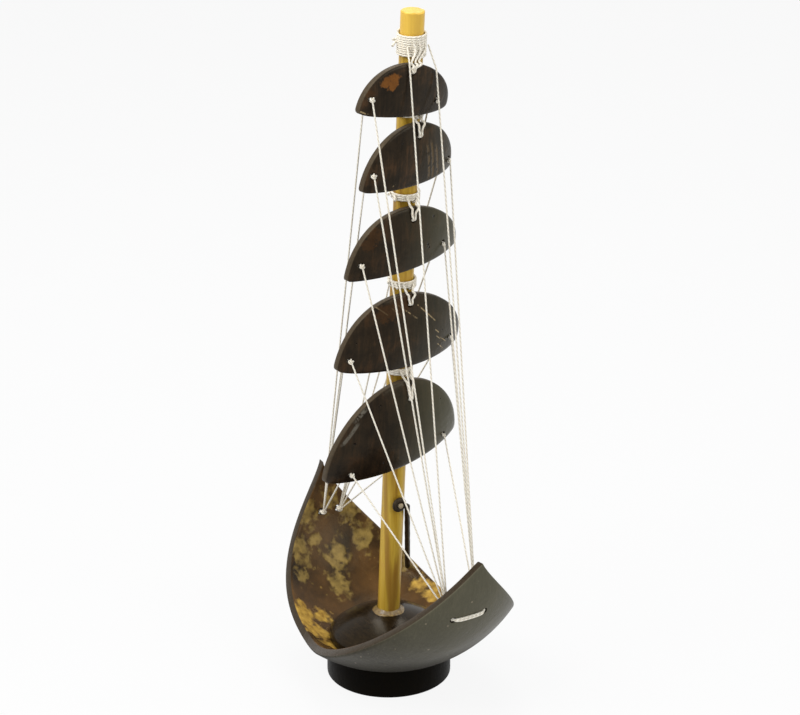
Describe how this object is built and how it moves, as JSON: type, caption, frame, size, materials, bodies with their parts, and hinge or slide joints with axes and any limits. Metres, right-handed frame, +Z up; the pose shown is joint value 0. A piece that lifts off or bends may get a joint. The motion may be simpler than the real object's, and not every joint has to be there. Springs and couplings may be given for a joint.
{
  "type": "ornamental sailing boat",
  "caption": "Ornamental sailing boat: bowl hull cut from a coconut shell on a foot ring, raked bamboo mast, curved half-moon shell sails, thread stays.",
  "frame": {"origin": "centre of the foot ring's flat bottom face, on the surface the boat stands on", "axes": "+X towards the stern, where the sails face and the mast leans, +Z up, +Y to the side on the left when looking towards the stern"},
  "size_m": [0.1209, 0.0781, 0.2782],
  "materials": {
    "hull_shell": "polished and oiled coconut shell, mottled tan inside",
    "ring_shell": "black stained shell, satin",
    "step_shell": "glossy dark shell",
    "sail_shell": "polished dark shell with lighter cut edges",
    "bamboo": "natural bamboo, fine long grain",
    "brace_wood": "dark stained stick",
    "pin_wood": "pale wooden pin",
    "thread": "twisted cream cotton",
    "glue": "clear amber glue bead"
  },
  "bodies": {
    "boat": {"foot_ring": "ring_shell", "hull": "hull_shell", "mast_step": "step_shell", "mast": "bamboo", "mast_glue": "glue", "mast_brace": "brace_wood", "brace_pin": "pin_wood", "bow_tie": "thread", "stern_tie": "thread", "backstay_port": "thread", "backstay_starboard": "thread", "stay_port_1": "thread", "stay_port_2": "thread", "stay_port_3": "thread", "stay_port_4": "thread", "stay_port_5": "thread", "stay_starboard_1": "thread", "stay_starboard_2": "thread", "stay_starboard_3": "thread", "stay_starboard_4": "thread", "stay_starboard_5": "thread"},
    "sail_1_group": {"sail_1": "sail_shell", "lashing_1": "thread"},
    "sail_2_group": {"sail_2": "sail_shell", "lashing_2": "thread"},
    "sail_3_group": {"sail_3": "sail_shell", "lashing_3": "thread"},
    "sail_4_group": {"sail_4": "sail_shell", "lashing_4": "thread"},
    "sail_5_group": {"sail_5": "sail_shell", "lashing_5": "thread"}
  },
  "joints": [
    {"name": "sail_1_swivel", "type": "hinge", "parent": "boat", "child": "sail_1_group", "pos_m": [0, 0, 0.0275], "axis": [0.068, 0, 0.9977], "range_deg": [-4, 4], "stiffness_Nm_per_rad": 0.01, "deforming": ["stay_port_1", "stay_starboard_1", "backstay_port", "backstay_starboard"]},
    {"name": "sail_2_swivel", "type": "hinge", "parent": "boat", "child": "sail_2_group", "pos_m": [0, 0, 0.0275], "axis": [0.068, 0, 0.9977], "range_deg": [-4, 4], "stiffness_Nm_per_rad": 0.01, "deforming": ["stay_port_2", "stay_starboard_2"]},
    {"name": "sail_3_swivel", "type": "hinge", "parent": "boat", "child": "sail_3_group", "pos_m": [0, 0, 0.0275], "axis": [0.068, 0, 0.9977], "range_deg": [-4, 4], "stiffness_Nm_per_rad": 0.01, "deforming": ["stay_port_3", "stay_starboard_3"]},
    {"name": "sail_4_swivel", "type": "hinge", "parent": "boat", "child": "sail_4_group", "pos_m": [0, 0, 0.0275], "axis": [0.068, 0, 0.9977], "range_deg": [-4, 4], "stiffness_Nm_per_rad": 0.01, "deforming": ["stay_port_4", "stay_starboard_4"]},
    {"name": "sail_5_swivel", "type": "hinge", "parent": "boat", "child": "sail_5_group", "pos_m": [0, 0, 0.0275], "axis": [0.068, 0, 0.9977], "range_deg": [-4, 4], "stiffness_Nm_per_rad": 0.01, "deforming": ["stay_port_5", "stay_starboard_5"]}
  ]
}
